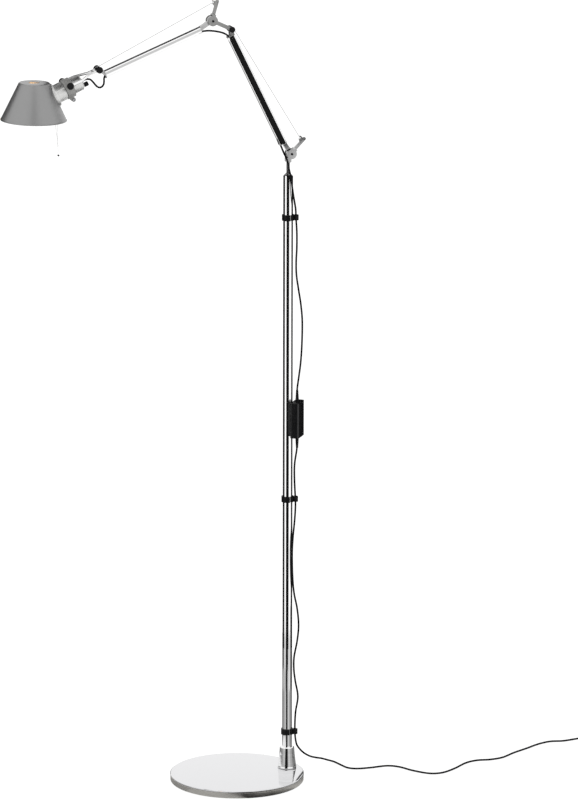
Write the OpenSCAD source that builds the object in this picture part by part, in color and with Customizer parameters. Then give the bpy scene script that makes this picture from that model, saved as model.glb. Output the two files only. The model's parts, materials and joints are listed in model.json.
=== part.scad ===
// Pharmacy floor lamp: a thin pole on a round weighted base, with two
// spring-balanced arms and a small swivelling metal shade.
// Origin: centre of the base's underside.  +X points from the base's centre
// to the pole, the arms lie in the XZ plane, and +Z is up.

/* [Base] */
// Radius of the round base
base_r = 115; // [100:1:130]
// Height of the base, pad included
base_h = 13.4; // [12:0.1:18]
// Thickness of the polished plate on top
cover_t = 2.6; // [2:0.1:3]
// Distance from the base's centre to the pole
pole_x = 91; // [80:1:92]

/* [Pole] */
// Outside diameter of the pole
pole_d = 17; // [16:0.5:18]
// Wall of the pole
pole_wall = 1.4; // [1:0.1:1.6]
// Height of the pole's flat-cut top
pole_top = 1053.6; // [900:0.2:1200]
// Radius of the conical collar's foot
collar_foot_r = 16.2; // [15:0.1:18]
// Radius of the collar's top
collar_top_r = 12.2; // [11:0.1:14]
// Height of the collar
collar_h = 38; // [30:1:45]

/* [Cord] */
// Diameter of the cord
cord_d = 3.2; // [3:0.1:3.6]
// Height of the top cord clip
clip_top_z = 981; // [976:1:986]
// Height of the middle cord clip
clip_middle_z = 491; // [484:1:498]
// Height of the bottom cord clip
clip_bottom_z = 78; // [74:1:84]
// Direction in which the clips hold the cord, in degrees from +X
side_angle = -19.3; // [-30:0.1:0]
// Thickness of the in-line driver box
box_t = 15; // [14:0.5:18]
// Width of the driver box
box_w = 34; // [30:1:36]
// Height of the driver box
box_h = 61; // [60:1:62]
// Turn of the driver box about the vertical
box_turn = -37; // [-45:1:0]
// Radius of the coil's middle turn
coil_r = 19; // [17:1:20]
// Radius of the coil's bundle
bundle_r = 6.2; // [5.5:0.1:6.4]

/* [Arms] */
// Outside diameter of the arm tubes
arm_d = 15; // [14:0.5:15]
// Wall of the arm tubes
arm_wall = 1; // [0.8:0.1:1.2]
// Height of the shoulder hinge
shoulder_z = 1090.4; // [1088:0.2:1094]
// Lean of the lower arm from the vertical
lower_lean = 26.2; // [10:0.1:40]
// Length of the lower arm's tube
lower_len = 209; // [180:1:240]
// Drop of the upper arm below the horizontal
upper_drop = 21.2; // [0:0.1:40]
// Length of the upper arm's tube
upper_len = 178.5; // [160:0.5:210]
// Radius of the hinge hubs
hub_r = 8.6; // [8.4:0.1:9]
// Length of the cable levers
lever_len = 36; // [34:1:38]

/* [Head] */
// Length of the link between wrist and head pivot
link_len = 59.3; // [57:0.1:62]
// Angle of the lamp holder's axis above the horizontal
holder_rise = 23.3; // [15:0.1:30]
// Radius of the lamp holder's front cylinder
front_r = 15.9; // [15.4:0.1:16.6]
// Radius of the lamp holder's rear cylinder
rear_r = 13.6; // [13.2:0.1:14]
// Radius of the shade's rim
rim_r = 54.2; // [52:0.1:58]
// Radius of the shade's flat top
shade_top_r = 25.2; // [24:0.1:28]
// Height of the shade
shade_h = 63.3; // [60:0.1:66]
// Thickness of the shade's sheet
shade_t = 1; // [0.8:0.1:1.2]
// Tilt of the shade's axis
shade_tilt = 1.4; // [0:0.1:3]

/* [Hidden] */
$fn = 64;

// Fits and gaps
gap = 0.3;
run = 0.06;
pin_r = 2;

// Base
pad_t = 1.8;
pad_r = base_r - 5;
cover_z = base_h - cover_t;
bolt_r = 4;

// Pole
pole_r = pole_d / 2;
pole_bore = pole_r - pole_wall;
swivel_r = 4;
swivel_len = 34;
bush_flange = 0.5;

// Shoulder
shoulder_x = 4.5;
tube_back = -4.7;
tube_start = 23.3;
arm_r = arm_d / 2;
arm_bore = arm_r - arm_wall;
shoulder = [pole_x + shoulder_x, 0, shoulder_z];
shoulder_lever = 45;
elbow_lever = 73.3;
lever_w = 5;
hook_at = [30, 6.5];

// Hub sandwich: tongue between two cheeks
tongue_y = 4;
cheek_in = tongue_y + gap;
cheek_out = 7.4;

// Lower arm, in its own frame: +Z along the arm from the shoulder
lower_pulley_at = [1.1, 0, 242.6];
elbow_at = [-22, 0, 271.8];
elbow = shoulder + turn_y(elbow_at, -lower_lean);

// Upper arm, in its own frame: +Z outward from the elbow, +X up
upper_back = -6.4;
upper_start = 24.6;
upper_pulley_at = [5.6, 0, 211];
upper_turn = -(90 + upper_drop);
wrist = elbow + turn_y(upper_pulley_at, upper_turn);

// Pulleys: between two ears, under the caps of their pins
pulley_r = 4.8;
ear_in = 3;
ear_out = 5;
cap_r = 5;

// Head: link frame has +Z from the wrist to the head pivot
link_turn = upper_turn + 0.2;
head_pivot = wrist + turn_y([0, 0, link_len], link_turn);
tine_in = 20;
tine_out = 22;
tine_w = 4.6;
// Lamp holder frame: +Z along its axis away from the shade, +X down
holder_turn = 90 - holder_rise;
pivot_in_holder = [-8, 0, 26];
holder_at = head_pivot - turn_y(pivot_in_holder, holder_turn);
ring_r = 17;
ring_z = [18.3, 32];
rear_z = 50.6;
flange_r = 20.5;
button_r = 3.9;
button_x = 7.4;
lug_at = [21, 0, 26];
// Shade frame: origin at the rim's centre
wall_h = 41;
wall_slope = (rim_r - shade_top_r - 0.4) / (shade_h - 2.7);
wall_r = wall_at(wall_h) - 0.7;
shade_at = holder_at - turn_y([wall_r, 0, wall_h], shade_tilt);
top_hole_r = 9.1;
lip_r = rim_r + 1.3;

// Wire handle, in the holder's frame at its top and in the row's below
handle_d = 1.5;
handle_top = holder_at + turn_y([12.6, 0, -3.6], holder_turn);
handle_mid = handle_top + [1.7, 0, -41.6];
handle_low = handle_mid + [1.5, 0, -29.7];
handle_end = handle_low + [1.1, 0, -17.7];
handle_w = 5.4;

// Plug and coil on the floor
cord_r = cord_d / 2;
tie_t = 1;
coil_at = [694, 24, bundle_r + tie_t + 0.1];
plug_at = [662, -45, 6.6];
plug_turn = 53;
box_at = [pole_x + 13.8, -9.4, 632];
box_r = 3;
screw_at = 24;

// Direction beside the pole, and a place given as distance to that side,
// distance towards the front, and height
side_dir = [cos(side_angle), sin(side_angle), 0];
front_dir = [sin(side_angle), -cos(side_angle), 0];
function beside(p) = [pole_x, 0, 0] + p[0] * side_dir + p[1] * front_dir
    + [0, 0, p[2]];
// Outside radius of the shade's wall at a height
function wall_at(z) = rim_r + 0.2 - wall_slope * (z - 2.2);
function turn_y(v, a) = [
    v[0] * cos(a) + v[2] * sin(a),
    v[1],
    v[2] * cos(a) - v[0] * sin(a)
];

// Route of the cord down the pole: [to the side, to the front, height]
upper_route = [
    [5.6, 10.5, 1046], [8.6, 9.5, 1024], [11, 7, 1009], [13, 2.5, 995],
    [13.5, 0, 981], [15, 0, 955], [15, 0, 928], [14, 0, 905],
    [14.5, 0, 882], [18, 0, 857], [22, 0, 831], [24.5, 0, 802],
    [24, 0, 762], [22, 1, 730], [19, 3, 706], [16.2, 4, 684],
    [16, 4, 664]
];
lower_route = [
    [16, 4, 600], [15.8, 4, 580], [12, 4, 552], [12, 2, 522],
    [13.5, 0, 491], [13.5, 0, 472], [12, 3, 450], [9.5, 7, 424],
    [8.2, 8, 396], [9, 7, 356], [11.5, 4, 326], [17, 2, 297],
    [19.5, 1, 267], [17, 1, 239], [12, 2, 212], [11.5, 2, 190],
    [14, 1, 168], [18.5, 0, 140], [14.5, 0, 111], [13.5, 0, 78],
    [16, -8, 54], [21.5, -17, 41.5], [29, -27, 31], [39.5, -42, 20.5],
    [50, -55, 14], [60, -65, 9.5], [71, -70, 5], [82, -69, 2.2]
];
// Route on the floor: [x, y]
floor_route = [
    [196, 20], [202, -2], [216, -12], [240, -14], [270, -13],
    [288, -26], [303, -54], [324, -79], [347, -82], [375, -66],
    [406, -41], [430, -33], [453, -36], [478, -31], [507, -11],
    [537, 6], [567, 24], [592, 32], [614, 28], [636, 31], [658, 36],
    [679, 41.5]
];
// Cord from the coil to the plug
plug_route = [
    [705.5, 4, 6.5], [699, 0, 5], [692, -6, 5.5], [683.7, -16.2, 6.6]
];

// Cords that cross a joint, in the frame of the arm named
swivel_route = [
    [-0.4, 10.1, 1076.7], [1.6, 10, 1066], [4.2, 10.3, 1055], [5.6, 10.5, 1046]
];
// Lower arm's frame
shoulder_route = [
    [-9, 0, 38], [-9, 0, 27], [-10, -2, 18], [-11.3, -5, 8],
    [-11.9, -8, 0], [-13.2, -9.4, -8.2]
];
elbow_route = [
    [-8.1, 0, 222], [-8.1, 0, 233], [-11, 0, 239.5], [-16, 0, 245.5],
    [-22.8, 0, 251.3], [-30, 0, 256.5], [-37.5, 0, 260.8], [-45.6, 0, 263.8],
    [-54, 0, 265]
];
// Upper arm's frame
head_route = [
    [-9.8, 0, 192], [-9.8, 0, 203.4], [-12.2, 0, 207], [-17, 0, 209],
    [-21.5, 0, 211.5], [-24, 0, 215.5], [-24, 0, 219.5], [-21, 0, 223],
    [-16, 0, 225.2], [-10.5, 0, 227], [-5, 0, 229.5], [-1.8, 0, 234],
    [-0.5, 0, 240]
];

// Smooth route through a list of points
function pick(p, i) = p[max(0, min(len(p) - 1, i))];
function curve_at(a, b, c, d, t) = 0.5 * (2 * b + (c - a) * t
    + (2 * a - 5 * b + 4 * c - d) * t * t
    + (3 * b - a - 3 * c + d) * t * t * t);
function smooth(p, steps) = [
    for (i = [0 : len(p) - 2], k = [0 : steps - 1])
        curve_at(pick(p, i - 1), p[i], p[i + 1], pick(p, i + 2), k / steps),
    p[len(p) - 1]
];
function unit(v) = v / norm(v);
function along(p, i) = unit(pick(p, i + 1) - pick(p, i - 1));
function square_to(v, t) = unit(v - (v * t) * t);
function side_of(t) = square_to(abs(t[1]) < 0.9 ? [0, 1, 0] : [1, 0, 0], t);
function carried(p, i) = i == 0
    ? side_of(along(p, 0))
    : square_to(carried(p, i - 1), along(p, i));
function ring(p, i, n, r, sides) = [
    for (s = [0 : sides - 1])
        p[i] + r * cos(360 * s / sides) * n
        + r * sin(360 * s / sides) * cross(along(p, i), n)
];

// Round tube swept along a list of points
module swept(p, r, sides = 8) {
    last = len(p) - 1;
    points = [for (i = [0 : last]) each ring(p, i, carried(p, i), r, sides)];
    walls = [
        for (i = [0 : last - 1], s = [0 : sides - 1])
            let (t = (s + 1) % sides, a = i * sides, b = (i + 1) * sides)
            each [[a + s, b + s, b + t], [a + s, b + t, a + t]]
    ];
    ends = [
        [for (s = [0 : sides - 1]) s],
        [for (s = [sides - 1 : -1 : 0]) last * sides + s]
    ];
    polyhedron(points, concat(ends, walls));
}

// Frames of the moving parts
module in_lower() {
    translate(shoulder) rotate([0, -lower_lean, 0]) children();
}
module in_upper() {
    translate(elbow) rotate([0, upper_turn, 0]) children();
}
module in_link() {
    translate(wrist) rotate([0, link_turn, 0]) children();
}
module in_holder() {
    translate(holder_at) rotate([0, holder_turn, 0]) children();
}
module in_shade() {
    translate(shade_at) rotate([0, shade_tilt, 0]) children();
}

// Cylinder along Y, from y0 to y1
module across(r, y0, y1) {
    translate([0, y1, 0]) rotate([90, 0, 0]) cylinder(r = r, h = y1 - y0);
}
// The same shape on both sides of the XZ plane
module both_sides() {
    children();
    mirror([0, 1, 0]) children();
}
// Flat shape in the XZ plane, thickened along Y between y0 and y1
module plate(y0, y1) {
    translate([0, y1, 0]) rotate([90, 0, 0]) linear_extrude(y1 - y0) children();
}
// Outline of a straight strip between two points
module strip(a, b, w) {
    turn = atan2(b[1] - a[1], b[0] - a[0]);
    translate(a) rotate(turn) translate([0, -w / 2]) square([norm(b - a), w]);
}
// The same with round ends
module bar(a, b, w) {
    strip(a, b, w);
    translate(a) circle(d = w);
    translate(b) circle(d = w);
}
// Round rod between two points
module rod(a, b, d) {
    v = b - a;
    translate(a)
        rotate([0, acos(v[2] / norm(v)), atan2(v[1], v[0])])
        cylinder(d = d, h = norm(v), $fn = 24);
}
// Outline of a lever, pointing along +X from its hub, with its hook and slot
module lever_outline() {
    slot = [lever_len - 8, lever_len - 2.5];
    difference() {
        union() {
            bar([hub_r - 1, 0], [lever_len - 2, 0], lever_w);
            polygon([
                [hook_at[0] - 7, 0], [hook_at[0] - 3, hook_at[1]],
                [hook_at[0], hook_at[1] + 2.4],
                [hook_at[0] + 3.2, hook_at[1] + 2.4], [hook_at[0] + 3.2, 0]
            ]);
        }
        bar([slot[0], -0.4], [slot[1], -0.4], 1.4);
        translate(hook_at) circle(r = 1.7);
        translate(hook_at) polygon([[0, -0.6], [-5.4, 2.8], [-4, 5], [1.9, 5], [0.6, 0]]);
    }
}
// Two hub cheeks joined by the root of a lever, open for the tongue between
module cheeks(lever_angle) {
    difference() {
        union() {
            both_sides() across(hub_r, cheek_in, cheek_out);
            rotate([0, -lever_angle, 0]) {
                plate(-2, 2) lever_outline();
                plate(-cheek_out, cheek_out)
                    translate([hub_r - 1.4, -2.6]) square([4, 5.2]);
            }
        }
        across(hub_r + gap, -cheek_in, cheek_in);
        across(pin_r, -20, 20);
    }
}
// Hub tongue with a running bore, and a bar to a plug in the tube's end
module tube_foot(back, start) {
    difference() {
        union() {
            across(hub_r - 0.6, -tongue_y, tongue_y);
            plate(-tongue_y, tongue_y)
                polygon([
                    [-3.5, 2], [3.5, 2], [back + 5.6, start - 1.5],
                    [back - 1, start - 1.5]
                ]);
        }
        across(pin_r + run, -tongue_y - 1, tongue_y + 1);
    }
    translate([back, 0, start - 1.5]) {
        intersection() {
            cylinder(r = arm_r, h = 1.5);
            translate([-1, -arm_r, 0]) cube([arm_r + 1, arm_d, 1.5]);
        }
        intersection() {
            cylinder(r = arm_bore, h = 11);
            translate([-1, -arm_r, 0]) cube([arm_r + 1, arm_d, 11]);
        }
    }
}
// Outline of an ear: an eye round the pulley's pin and a strip to the tube
module ear_outline(back, start, pulley) {
    translate(pulley) circle(r = 3.6);
    strip(pulley, [back + 2.4, start + 0.8], 6);
}
// Plug in the tube's outer end, with a way out for the cable and the cord
module tube_end(back, start) {
    translate([back, 0, 0]) difference() {
        union() {
            translate([0, 0, start]) cylinder(r = arm_r, h = 1.6);
            translate([0, 0, start - 11]) cylinder(r = arm_bore, h = 12);
        }
        translate([2.6, 0, start - 12]) cylinder(r = 1.4, h = 20);
        translate([-3.4, 0, start - 12]) cylinder(r = cord_r + 0.8, h = 20);
    }
}
// Grooved wheel on a pin along Y
module pulley() {
    difference() {
        rotate([90, 0, 0]) rotate_extrude() polygon([
            [pin_r + run, -2.7], [pulley_r, -2.7], [pulley_r, -1.6],
            [pulley_r - 1.4, -0.6], [pulley_r - 1.4, 0.6],
            [pulley_r, 1.6], [pulley_r, 2.7], [pin_r + run, 2.7]
        ]);
        across(0.6, -3, 3);
    }
}
// Pin along Y with a domed cap at each end
module capped_pin(half, r, cap) {
    across(pin_r, -half, half);
    both_sides() translate([0, half, 0]) rotate([-90, 0, 0])
        rotate_extrude() polygon([
            [0, 0], [r, 0], [r, cap * 0.6], [r - 0.8, cap], [0, cap]
        ]);
}
// Sleeve of a close-wound spring, with a hook at each end
module spring(len) {
    difference() {
        cylinder(r = 3.6, h = len);
        translate([0, 0, -1]) cylinder(r = 2.4, h = len + 2);
    }
    for (z = [-1, len + 1]) translate([0, 0, z]) rotate([90, 0, 0])
        rotate_extrude() translate([2.7, 0]) circle(r = 0.5);
}

// ---- Base and pole ----
module base_pad() {
    color("dimgray") difference() {
        cylinder(r = pad_r, h = pad_t, $fn = 128);
        translate([pole_x, 0, -1]) cylinder(r = 9, h = pad_t + 2);
    }
}
module base_weight() {
    color("silver") difference() {
        union() {
            translate([0, 0, pad_t])
                cylinder(r = base_r - 0.4, h = cover_z - pad_t, $fn = 128);
            translate([0, 0, 0.9])
                difference() {
                    cylinder(r = base_r - 1.2, h = pad_t, $fn = 128);
                    translate([0, 0, -1]) cylinder(r = pad_r, h = pad_t + 2);
                }
        }
        translate([pole_x, 0, -1]) cylinder(r = 9, h = 6);
        translate([pole_x, 0, -1]) cylinder(r = bolt_r + 0.2, h = base_h);
    }
}
module base_cover() {
    color("gainsboro") difference() {
        rotate_extrude($fn = 128) polygon([
            [0, cover_z], [base_r - 0.8, cover_z], [base_r, cover_z + 0.5],
            [base_r, base_h - 1], [base_r - 1, base_h], [0, base_h]
        ]);
        translate([pole_x, 0, -1]) cylinder(r = bolt_r + 0.2, h = base_h + 2);
    }
}
module pole_bolt() {
    color("dimgray") translate([pole_x, 0, 0]) difference() {
        union() {
            translate([0, 0, 0.6]) cylinder(r = 6.5, h = 4.4);
            translate([0, 0, 0.6]) cylinder(r = bolt_r, h = 37.4);
        }
        translate([0, 0, -1]) cylinder(r = 3, h = 4, $fn = 6);
    }
}
module pole_foot_plug() {
    color("dimgray") translate([pole_x, 0, base_h]) difference() {
        cylinder(r = pole_bore, h = 45);
        translate([0, 0, -1]) cylinder(r = bolt_r, h = 30);
    }
}
module pole_collar() {
    color("silver") translate([pole_x, 0, base_h]) difference() {
        rotate_extrude() polygon([
            [0, 0], [collar_foot_r - 1.4, 0], [collar_foot_r - 0.3, 0.6],
            [collar_foot_r, 1.8], [collar_foot_r - 0.5, 4],
            [collar_top_r, collar_h - 0.8], [collar_top_r - 0.8, collar_h],
            [0, collar_h]
        ]);
        translate([0, 0, -1]) cylinder(r = pole_r, h = collar_h + 2);
        translate([0, 0, collar_h / 2]) rotate([-90, 0, 0])
            cylinder(r = pin_r, h = 20);
    }
}
module collar_screw() {
    color("dimgray") translate([pole_x, pole_r, base_h + collar_h / 2])
        rotate([-90, 0, 0]) difference() {
            cylinder(r = pin_r, h = 4.6);
            translate([0, 0, 2.6]) cylinder(r = 1.1, h = 3, $fn = 6);
        }
}
module pole_tube() {
    color("whitesmoke") translate([pole_x, 0, base_h]) difference() {
        cylinder(r = pole_r, h = pole_top - base_h);
        translate([0, 0, -1])
            cylinder(r = pole_bore, h = pole_top - base_h + 2);
    }
}
module pole_top_bush() {
    color("black") translate([pole_x, 0, pole_top]) difference() {
        translate([0, 0, -40]) cylinder(r = pole_bore, h = 40 + bush_flange);
        translate([0, 0, -swivel_len - 2])
            cylinder(r = swivel_r + run, h = 60);
    }
}
module cord_clip(z) {
    holder = 13.5;
    color("black") translate([pole_x, 0, z]) rotate([0, 0, side_angle])
        translate([0, 0, -5]) difference() {
            union() {
                cylinder(r = pole_r + 1.9, h = 10);
                translate([holder, 0, 0.4]) cylinder(r = 4.6, h = 9.2);
                translate([5, -2, 1]) cube([holder - 4, 4, 8]);
            }
            translate([0, 0, -1]) cylinder(r = pole_r, h = 12);
            translate([holder, 0, -1]) cylinder(r = cord_r + 0.3, h = 12);
            translate([4.4, -pole_r - 5, -1]) cube([2.2, 11, 12]);
        }
}
module cord_clip_top() {
    cord_clip(clip_top_z);
}
module cord_clip_middle() {
    cord_clip(clip_middle_z);
}
module cord_clip_bottom() {
    cord_clip(clip_bottom_z);
}

// ---- Cord, driver box and plug ----
module upper_lead() {
    color("black")
        swept(smooth([for (p = upper_route) beside(p)], 1), cord_r);
}
module lower_lead() {
    color("black") swept(smooth(concat(
        [for (p = lower_route) beside(p)],
        [for (p = floor_route) [p[0], p[1], cord_r + 0.1]]
    ), 1), cord_r);
    color("black") swept(smooth(plug_route, 2), cord_r);
}
module lead_coil() {
    color("black") translate(coil_at) rotate_extrude()
        translate([coil_r, 0]) circle(r = bundle_r);
}
module coil_tie() {
    color("dimgray") translate(coil_at) rotate([0, 0, 35])
        translate([coil_r, 0, 0]) difference() {
            across(bundle_r + tie_t, -2, 2);
            across(bundle_r + 0.2, -3, 3);
        }
}
module driver_shell(inner) {
    w = [box_t, box_w, box_h] - inner * [2, 2, 2];
    r = max(0.8, box_r - inner);
    linear_extrude(w[2], center = true) {
        square([w[0] - 2 * r, w[1]], center = true);
        square([w[0], w[1] - 2 * r], center = true);
        for (x = [-1, 1], y = [-1, 1])
            translate([x * (w[0] / 2 - r), y * (w[1] / 2 - r)]) circle(r = r);
    }
}
module in_box() {
    translate(box_at) rotate([0, 0, box_turn]) children();
}
module driver_half(from_x, to_x, screw_depth) {
    in_box() difference() {
        intersection() {
            driver_shell(0);
            translate([from_x, -50, -50]) cube([to_x - from_x, 100, 100]);
        }
        driver_shell(1.8);
        cylinder(r = 3, h = 100, center = true);
        for (z = [-1, 1]) translate([-20, 0, z * screw_at]) rotate([0, 90, 0])
            cylinder(r = 1.5, h = 20 + screw_depth);
    }
}
module driver_case() {
    color("black") driver_half(-20, 1, 5.8);
}
module driver_lid() {
    color("#222222") driver_half(1, 20, 5.8);
}
module driver_board() {
    color("darkgreen") in_box() {
        translate([-1.9, 0, 0]) cube([1.4, box_w - 3.6, 36], center = true);
        translate([1.2, 3, 6]) cube([4.8, 12, 14], center = true);
        translate([0.8, -6, -10]) cube([4, 8, 10], center = true);
    }
}
module driver_screws() {
    color("gray") in_box() for (z = [-1, 1]) translate([-7.2, 0, z * screw_at])
        rotate([0, 90, 0]) cylinder(r = 1.5, h = 13);
}
module driver_strain_reliefs() {
    color("black") in_box() for (z = [0, 1]) mirror([0, 0, z])
        translate([0, 0, box_h / 2 - 1.8]) difference() {
            union() {
                cylinder(r = 3, h = 1.8);
                translate([0, 0, 1.8]) cylinder(r1 = 3.2, r2 = 2.2, h = 20);
            }
            translate([0, 0, -1]) cylinder(r = cord_r, h = 30);
        }
}
module plug_body() {
    color("black") translate(plug_at) rotate([0, 0, plug_turn]) {
        translate([0, 0, -6.6]) linear_extrude(13.2) polygon([
            [0, -12.5], [22, -12.5], [30, -8], [36, -4], [36, 4], [30, 8],
            [22, 12.5], [0, 12.5]
        ]);
    }
}
module plug_pins() {
    color("silver") translate(plug_at) rotate([0, 0, plug_turn])
        for (y = [-9, 9]) translate([0, y, 0]) rotate([0, -90, 0]) {
            cylinder(r = 2, h = 18);
            translate([0, 0, 18]) cylinder(r1 = 2, r2 = 1.2, h = 1);
        }
}

// ---- Swivelling shoulder ----
module shoulder_casting() {
    color("silver") {
        translate([pole_x, 0, 0]) {
            translate([0, 0, pole_top - swivel_len])
                cylinder(r = swivel_r, h = swivel_len + 4);
            translate([0, 0, pole_top + bush_flange + gap])
                cylinder(r = 4.8, h = 2.4);
            translate([0, 0, pole_top + 3.9]) cylinder(r = 3, h = 20);
        }
        difference() {
            union() {
                translate(shoulder) cheeks(shoulder_lever);
                translate([pole_x - 3.6, -cheek_out, pole_top + 23])
                    cube([7, 2 * cheek_out, 8]);
            }
            translate(shoulder)
                across(hub_r + gap, -cheek_in, cheek_in);
            translate(shoulder) across(pin_r, -20, 20);
        }
    }
}
module shoulder_pin() {
    color("black") translate(shoulder) across(pin_r, -8.2, 8.2);
}
module swivel_cord() {
    color("black") swept(smooth([for (p = swivel_route) beside(p)], 2), cord_r);
}
module shoulder_cord() {
    color("black") in_lower() swept(smooth(shoulder_route, 2), cord_r);
}

// ---- Lower arm ----
module lower_tube() {
    color("whitesmoke") in_lower() translate([tube_back, 0, tube_start])
        difference() {
            cylinder(r = arm_r, h = lower_len);
            translate([0, 0, -1]) cylinder(r = arm_bore, h = lower_len + 2);
        }
}
module lower_tube_foot() {
    color("silver") in_lower() tube_foot(tube_back, tube_start);
}
module elbow_casting() {
    top = tube_start + lower_len;
    pulley = [lower_pulley_at[0], lower_pulley_at[2]];
    hub = [elbow_at[0], elbow_at[2]];
    color("darkgray") in_lower() {
        tube_end(tube_back, top);
        difference() {
            both_sides() plate(ear_in, ear_out + 1.9) {
                ear_outline(tube_back, top, pulley);
                strip(pulley, hub + 4 * unit(pulley - hub), 6.4);
            }
            translate(lower_pulley_at) across(pin_r, -20, 20);
            translate(elbow_at)
                across(hub_r + gap, -cheek_in - 0.4, cheek_in + 0.4);
        }
    }
    color("darkgray") translate(elbow) cheeks(elbow_lever);
}
module elbow_pin() {
    color("black") translate(elbow) across(pin_r, -8.2, 8.2);
}
module lower_spring() {
    color("gray") in_lower() translate([tube_back + 1, 2.2, tube_start + 44])
        spring(96);
}
module lower_spring_anchor() {
    color("gray") in_lower()
        translate([tube_back + 1, 0, tube_start + 38]) {
            across(1.2, -arm_bore + 0.4, arm_bore - 0.4);
        }
}
module lower_pulley() {
    color("black") in_lower() translate(lower_pulley_at) pulley();
}
module lower_pulley_pin() {
    color("black") in_lower() translate(lower_pulley_at)
        capped_pin(ear_out + 2.1, cap_r, 2.6);
}
module lower_tension_cable() {
    h = turn_y([hook_at[0], 0, hook_at[1]], -shoulder_lever);
    hook = shoulder + h;
    top = shoulder + turn_y(lower_pulley_at + [4.2, 0, 1.5], -lower_lean);
    color("silver") {
        rod(hook, top, 1);
        translate(hook) sphere(r = 1.4, $fn = 24);
    }
}
module elbow_cord() {
    color("black") in_lower() swept(smooth(elbow_route, 2), cord_r);
}

// ---- Upper arm ----
module upper_tube() {
    color("whitesmoke") in_upper() translate([upper_back, 0, upper_start])
        difference() {
            cylinder(r = arm_r, h = upper_len);
            translate([0, 0, -1]) cylinder(r = arm_bore, h = upper_len + 2);
        }
}
module upper_tube_foot() {
    color("silver") in_upper() tube_foot(upper_back, upper_start);
}
module upper_tube_head() {
    top = upper_start + upper_len;
    color("silver") in_upper() {
        tube_end(upper_back, top);
        difference() {
            both_sides() plate(ear_in, ear_out)
                ear_outline(upper_back, top, [upper_pulley_at[0], upper_pulley_at[2]]);
            translate(upper_pulley_at) across(pin_r, -20, 20);
        }
    }
}
module wrist_pin() {
    color("black") translate(wrist) rotate([0, link_turn, 0])
        capped_pin(ear_out + 2.8, 5.6, 2.6);
}
module upper_spring() {
    color("gray") in_upper() translate([upper_back + 1, 2.2, upper_start + 38])
        spring(84);
}
module upper_spring_anchor() {
    color("gray") in_upper() translate([upper_back + 1, 0, upper_start + 32])
        across(1.2, -arm_bore + 0.4, arm_bore - 0.4);
}
module upper_pulley() {
    color("black") in_upper() translate(upper_pulley_at) pulley();
}
module upper_tension_cable() {
    hook = elbow + turn_y([hook_at[0], 0, hook_at[1]], -elbow_lever);
    top = elbow + turn_y(upper_pulley_at + [4.2, 0, 1.5], upper_turn);
    color("silver") {
        rod(hook, top, 1);
        translate(hook) sphere(r = 1.4, $fn = 24);
    }
}
module head_cord() {
    color("black") in_upper() swept(smooth(head_route, 2), cord_r);
}

// ---- Head ----
module head_fork() {
    eye = ear_out + gap;
    color("silver") in_link() {
        both_sides() difference() {
            union() {
                across(4.4, eye, eye + 2.2);
                translate([-tine_w / 2, 0, 0]) rotate([90, 0, 90])
                    linear_extrude(tine_w) polygon([
                        [eye, 0], [eye + 2.2, 0], [eye + 2.2, 17],
                        [tine_out, 38], [tine_out, link_len],
                        [tine_in, link_len], [tine_in, 38.6], [eye, 18]
                    ]);
                translate([0, 0, link_len]) across(4.6, tine_in, tine_out);
            }
            across(pin_r + run, 0, 30);
            translate([0, 0, link_len]) across(pin_r, 0, 30);
        }
        translate([-2, -eye - 1, 8]) cube([4, 2 * eye + 2, 4]);
    }
}
module head_pivots() {
    color("black") translate(head_pivot) both_sides() {
        across(pin_r, ring_r - 1, tine_out + 0.4);
        translate([0, tine_out + 0.4, 0]) rotate([-90, 0, 0])
            rotate_extrude() polygon([
                [0, 0], [5.8, 0], [5.8, 2.2], [5, 3.2], [0, 3.2]
            ]);
    }
}
module holder_cord() {
    color("black") swept(smooth([
        for (z = [rear_z, rear_z + 1.5, rear_z + 3])
            holder_at + turn_y([0, 0, z], holder_turn),
        wrist + turn_y([-5.9, 0, 30.2], link_turn)
    ], 2), cord_r);
}
module holder_ring() {
    color("gray") in_holder() difference() {
        union() {
            translate([0, 0, ring_z[0]])
                cylinder(r = ring_r, h = ring_z[1] - ring_z[0]);
            both_sides() translate(pivot_in_holder) across(5.5, 10, 19.6);
            both_sides() plate(1, 4.6)
                bar([ring_r - 4, lug_at[2] - 3], [lug_at[0], lug_at[2]], 7);
        }
        translate([0, 0, ring_z[0] - 1])
            cylinder(r = rear_r + run, h = 20);
        both_sides() translate(pivot_in_holder)
            across(pin_r + run, ring_r - 1.3, 30);
        translate([10, -1, ring_z[0] - 1]) cube([30, 2, 30]);
        translate(lug_at) across(1.5, -10, 10);
    }
}
module ring_screw() {
    color("silver") in_holder() translate(lug_at) difference() {
        union() {
            across(1.5, -5, 5);
            across(2.5, -6.6, -4.6);
        }
        translate([0, -5.6, 0]) rotate([90, 0, 0])
            cylinder(r = 1.2, h = 3, $fn = 6);
    }
}
module holder_front() {
    color("silver") difference() {
        in_holder() difference() {
            union() {
                translate([0, 0, -9]) cylinder(r = flange_r, h = 11.2);
                cylinder(r = front_r, h = ring_z[0] - gap);
                cylinder(r = rear_r, h = ring_z[1] + gap);
            }
            translate([0, 0, -10]) cylinder(r = 11.2, h = 60);
        }
        in_shade() rotate_extrude() polygon([
            [0, -1], [wall_at(-1), -1], [wall_at(shade_h + 2), shade_h + 2],
            [0, shade_h + 2]
        ]);
    }
}
module holder_rear() {
    color("silver") in_holder() difference() {
        translate([0, 0, ring_z[1] + gap]) rotate_extrude() polygon([
            [0, 0], [rear_r, 0],
            [rear_r, rear_z - ring_z[1] - gap - 2],
            [rear_r - 2, rear_z - ring_z[1] - gap],
            [0, rear_z - ring_z[1] - gap]
        ]);
        translate([0, 0, ring_z[1] - 1]) cylinder(r = 11.4, h = 16);
        translate([0, 0, 40]) cylinder(r = cord_r, h = 20);
        translate([button_x, 0, 40]) cylinder(r = 3 + run, h = 20);
    }
}
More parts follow.
